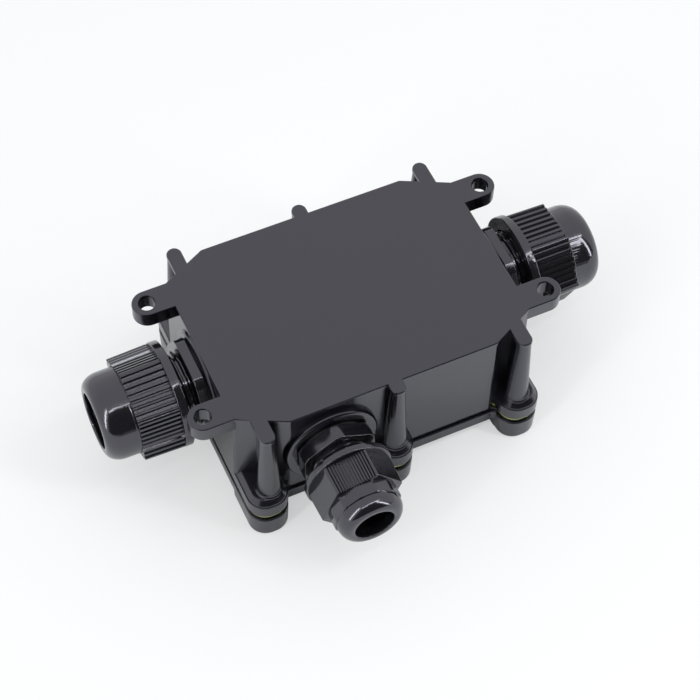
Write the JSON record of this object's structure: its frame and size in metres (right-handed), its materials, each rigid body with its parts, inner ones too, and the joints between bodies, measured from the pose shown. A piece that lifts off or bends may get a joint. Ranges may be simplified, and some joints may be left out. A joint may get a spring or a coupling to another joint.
{
  "type": "waterproof junction box",
  "caption": "Black plastic waterproof cable junction box with screwed lid, side mounting ears and domed cable glands on three walls, shown from the back.",
  "frame": {"origin": "centre of the box's flat back face", "axes": "+Z out of the back face, +X along the long side to the right-hand large gland, -Y to the small gland; the lid faces -Z"},
  "size_m": [0.139, 0.09, 0.0395],
  "materials": {
    "black_nylon": "satin",
    "gland_nylon": "semi-gloss",
    "seal_rubber": "matt",
    "gasket_rubber": "matt",
    "screw_steel": "zinc plated",
    "terminal_plastic": "satin",
    "terminal_brass": "bright"
  },
  "bodies": {
    "housing": {"rear_housing": "black_nylon", "terminal_block": "terminal_plastic", "terminal_barrel_1": "terminal_brass", "terminal_barrel_2": "terminal_brass", "terminal_barrel_3": "terminal_brass", "clamp_screw_1": "screw_steel", "clamp_screw_2": "screw_steel", "clamp_screw_3": "screw_steel", "clamp_screw_4": "screw_steel", "clamp_screw_5": "screw_steel", "clamp_screw_6": "screw_steel", "block_screw_1": "screw_steel", "block_screw_2": "screw_steel", "left_gland_body": "gland_nylon", "left_gland_washer": "seal_rubber", "left_gland_seal": "seal_rubber", "right_gland_body": "gland_nylon", "right_gland_washer": "seal_rubber", "right_gland_seal": "seal_rubber", "front_gland_body": "gland_nylon", "front_gland_washer": "seal_rubber", "front_gland_seal": "seal_rubber"},
    "lid": {"lid": "black_nylon", "lid_gasket": "gasket_rubber", "lid_screw_1": "screw_steel", "lid_screw_2": "screw_steel", "lid_screw_3": "screw_steel", "lid_screw_4": "screw_steel", "lid_screw_5": "screw_steel", "lid_screw_6": "screw_steel"},
    "left_cage": {"left_gland_cage": "gland_nylon"},
    "left_nut": {"left_gland_dome_nut": "gland_nylon"},
    "right_cage": {"right_gland_cage": "gland_nylon"},
    "right_nut": {"right_gland_dome_nut": "gland_nylon"},
    "front_cage": {"front_gland_cage": "gland_nylon"},
    "front_nut": {"front_gland_dome_nut": "gland_nylon"}
  },
  "joints": [
    {"name": "lid_slide", "type": "slide", "parent": "housing", "child": "lid", "axis": [0, 0, -1], "range_m": [0, 0.035]},
    {"name": "left_cage_slide", "type": "slide", "parent": "housing", "child": "left_cage", "axis": [-1, 0, 0], "range_m": [-0.0023, 0.0023]},
    {"name": "left_nut_turn", "type": "hinge", "parent": "left_cage", "child": "left_nut", "pos_m": [-0.06098, 0, -0.0145], "axis": [-1, 0, 0], "range_deg": [-540, 540]},
    {"name": "right_cage_slide", "type": "slide", "parent": "housing", "child": "right_cage", "axis": [1, 0, 0], "range_m": [-0.0023, 0.0023]},
    {"name": "right_nut_turn", "type": "hinge", "parent": "right_cage", "child": "right_nut", "pos_m": [0.06098, 0, -0.0145], "axis": [1, 0, 0], "range_deg": [-540, 540]},
    {"name": "front_cage_slide", "type": "slide", "parent": "housing", "child": "front_cage", "axis": [0, -1, 0], "range_m": [-0.0023, 0.0023]},
    {"name": "front_nut_turn", "type": "hinge", "parent": "front_cage", "child": "front_nut", "pos_m": [-0.0175, -0.0478, -0.0155], "axis": [0, -1, 0], "range_deg": [-540, 540]}
  ],
  "couplings": [
    {"joint": "left_cage_slide", "follows": "left_nut_turn", "m_per_rad": 0.00023873},
    {"joint": "right_cage_slide", "follows": "right_nut_turn", "m_per_rad": 0.00023873},
    {"joint": "front_cage_slide", "follows": "front_nut_turn", "m_per_rad": 0.00023873}
  ]
}
